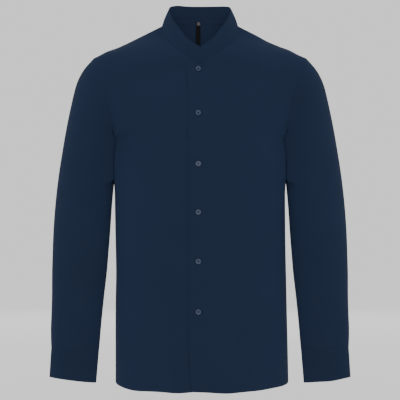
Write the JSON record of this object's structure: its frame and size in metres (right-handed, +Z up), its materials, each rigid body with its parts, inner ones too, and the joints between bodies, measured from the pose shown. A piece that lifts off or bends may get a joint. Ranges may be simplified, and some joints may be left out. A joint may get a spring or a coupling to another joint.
{
  "type": "mandarin collar shirt",
  "caption": "Long-sleeved navy shirt in its worn hollow shape, with a low stand collar open in a V, a buttoned front, a gently curved hem and lapped cuffs.",
  "frame": {"origin": "midway between the two points where the neck seam meets the shoulder seams, where the wearer's shoulders and neck carry the shirt", "axes": "+Z up, -Y towards the front of the shirt, +X towards the wearer's left"},
  "size_m": [0.6192, 0.2457, 0.7995],
  "materials": {
    "navy_poplin": "fine plain-weave poplin, matt with a faint sheen",
    "slate_button": "polished resin with a dished face",
    "black_tape": "woven tape, bare",
    "grey_tape": "woven tape, bare"
  },
  "bodies": {
    "root": {"front_left": "navy_poplin", "front_right": "navy_poplin", "back": "navy_poplin", "collar": "navy_poplin", "sleeve_left": "navy_poplin", "sleeve_right": "navy_poplin", "sleeve_placket_left": "navy_poplin", "sleeve_placket_right": "navy_poplin", "cuff_left": "navy_poplin", "cuff_right": "navy_poplin", "button_1": "slate_button", "button_2": "slate_button", "button_3": "slate_button", "button_4": "slate_button", "button_5": "slate_button", "button_6": "slate_button", "cuff_button_left": "slate_button", "cuff_button_right": "slate_button", "neck_label": "black_tape", "size_tab": "grey_tape"}
  },
  "joints": []
}
